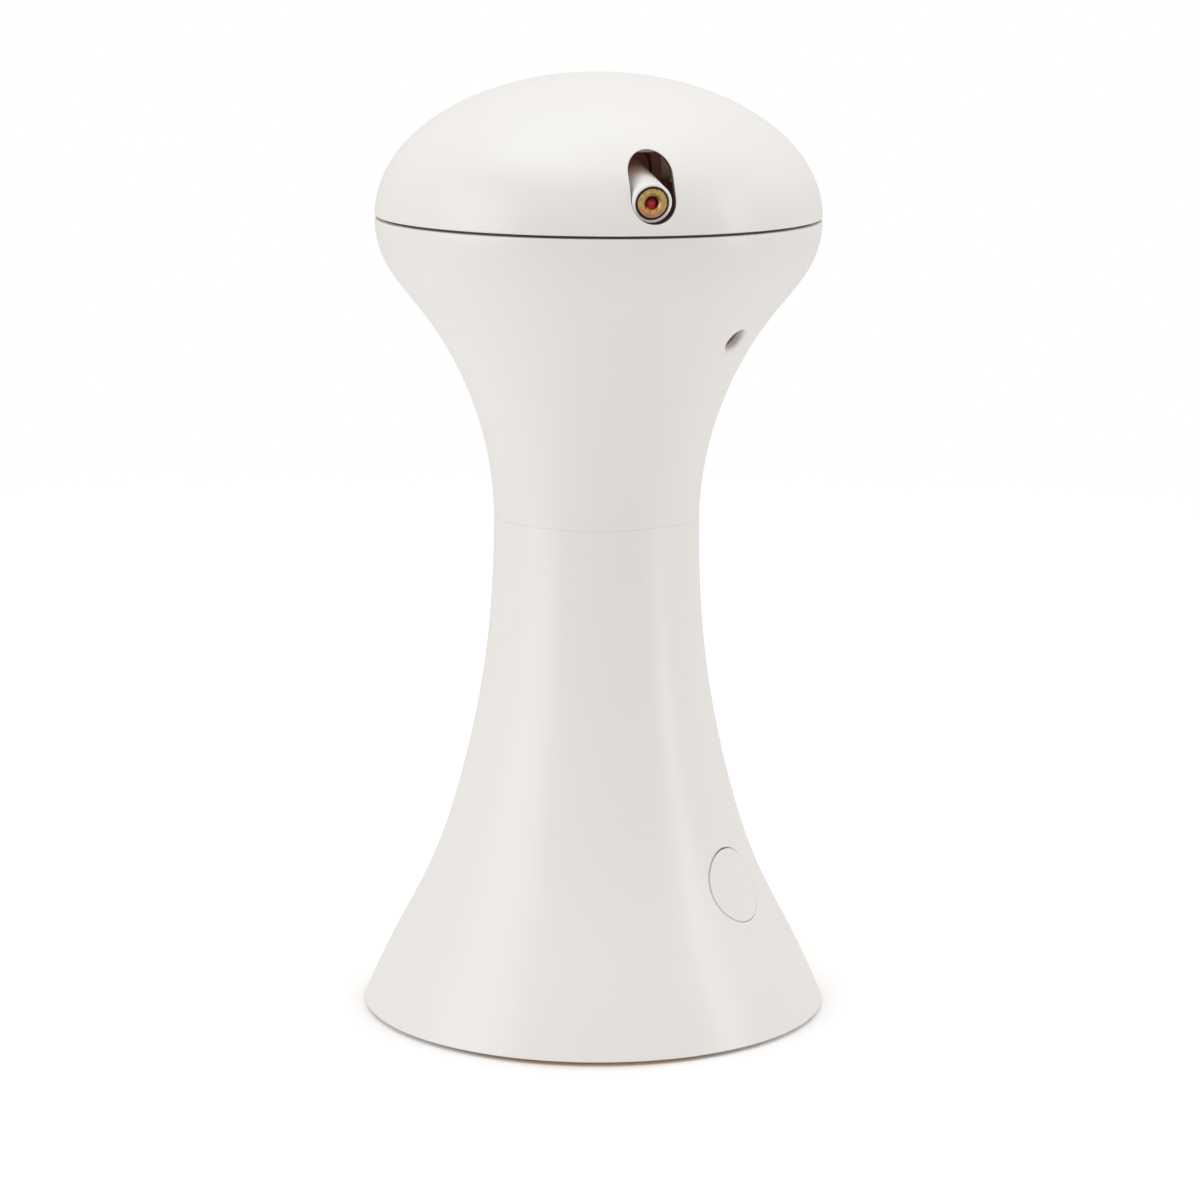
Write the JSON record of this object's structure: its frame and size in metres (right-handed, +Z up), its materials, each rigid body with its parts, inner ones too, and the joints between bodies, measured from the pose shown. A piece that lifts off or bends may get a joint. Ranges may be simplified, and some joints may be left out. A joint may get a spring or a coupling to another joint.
{
  "type": "automatic cat laser toy",
  "caption": "Goblet-shaped stand with a turning dome whose slot lets a tilting laser barrel sweep the floor; battery base with push button.",
  "frame": {"origin": "on the floor, at the centre of the round base", "axes": "+Z up along the spindle; -Y is the way the slot of the dome faces at rest"},
  "size_m": [0.1192, 0.1192, 0.24],
  "materials": {
    "shell": "smooth moulded ABS, satin gloss",
    "barrel": "smooth moulded, satin",
    "chassis": "dark moulded nylon",
    "sleeve": "black insulating sleeve",
    "gear": "moulded acetal",
    "rubber": "soft moulded",
    "cell_jacket": "printed jacket, plain",
    "contact": "nickel-plated sheet",
    "board": "solder resist",
    "component": "moulded packages",
    "ribbon": "flat cable jacket",
    "steel": "zinc-plated",
    "motor_can": "drawn can",
    "brass": "turned",
    "lens": "polished acrylic"
  },
  "bodies": {
    "stand": {"base_cone": "shell", "base_plate": "shell", "rubber_feet": "rubber", "aa_cells": "cell_jacket", "battery_contacts": "contact", "battery_springs": "contact", "main_board": "board", "board_components": "component", "ribbon_cable": "ribbon", "switch_board": "board", "tact_switch": "component", "base_screws": "steel", "board_screws": "steel", "goblet_shell": "shell", "neck_screws": "steel", "chassis_lower_plate": "chassis", "chassis_upper_plate": "chassis", "chassis_posts": "steel", "chassis_screws": "steel", "spindle_bushes": "brass", "spin_motor": "motor_can", "motor_screws": "steel", "brush_holder": "chassis", "spindle_brushes": "brass"},
    "head": {"spindle": "steel", "spindle_gear": "gear", "slip_ring_drum": "chassis", "slip_rings": "brass", "dome_shell": "shell", "dome_screws": "steel", "turntable": "chassis", "spindle_screw": "steel", "tilt_bracket": "chassis", "tilt_motor": "motor_can", "head_screws": "steel", "lower_hanger": "chassis", "lower_barrel": "barrel", "lower_module": "brass", "lower_lens": "lens", "lower_sleeve": "sleeve", "lower_driver_board": "board"},
    "upper_laser": {"tilt_sector": "gear", "laser_cradle": "chassis", "laser_barrel": "barrel", "laser_module": "brass", "laser_lens": "lens", "laser_sleeve": "sleeve", "laser_driver_board": "board"},
    "tilt_gear": {"tilt_pinion": "gear"},
    "drive_gear": {"drive_pinion": "gear", "drive_shaft": "steel"},
    "button": {"button_cap": "shell", "switch_plunger": "component"},
    "battery_cover": {"battery_door": "shell"}
  },
  "joints": [
    {"name": "head_spin", "type": "hinge", "parent": "stand", "child": "head", "pos_m": [0, 0, 0.2043], "axis": [0, 0, 1], "continuous": true},
    {"name": "drive_spin", "type": "hinge", "parent": "stand", "child": "drive_gear", "pos_m": [0.0147, 0, 0.155], "axis": [0, 0, 1], "continuous": true},
    {"name": "laser_tilt", "type": "hinge", "parent": "head", "child": "upper_laser", "pos_m": [0, -0.02, 0.21815], "axis": [-1, 0, 0], "range_deg": [0, 10]},
    {"name": "tilt_spin", "type": "hinge", "parent": "head", "child": "tilt_gear", "pos_m": [0.01, -0.0032, 0.21815], "axis": [-1, 0, 0], "range_deg": [-30, 0]},
    {"name": "button_press", "type": "slide", "parent": "stand", "child": "button", "axis": [-0.6337, 0.6608, -0.4021], "range_m": [0, 0.0008], "stiffness_N_per_m": 1200, "springref_m": -0.0003},
    {"name": "battery_cover_open", "type": "hinge", "parent": "stand", "child": "battery_cover", "pos_m": [0, 0.0321, 0.0021], "axis": [1, 0, 0], "range_deg": [0, 70]}
  ],
  "couplings": [
    {"joint": "drive_spin", "follows": "head_spin", "ratio": -2.5},
    {"joint": "tilt_spin", "follows": "laser_tilt", "ratio": -3}
  ]
}
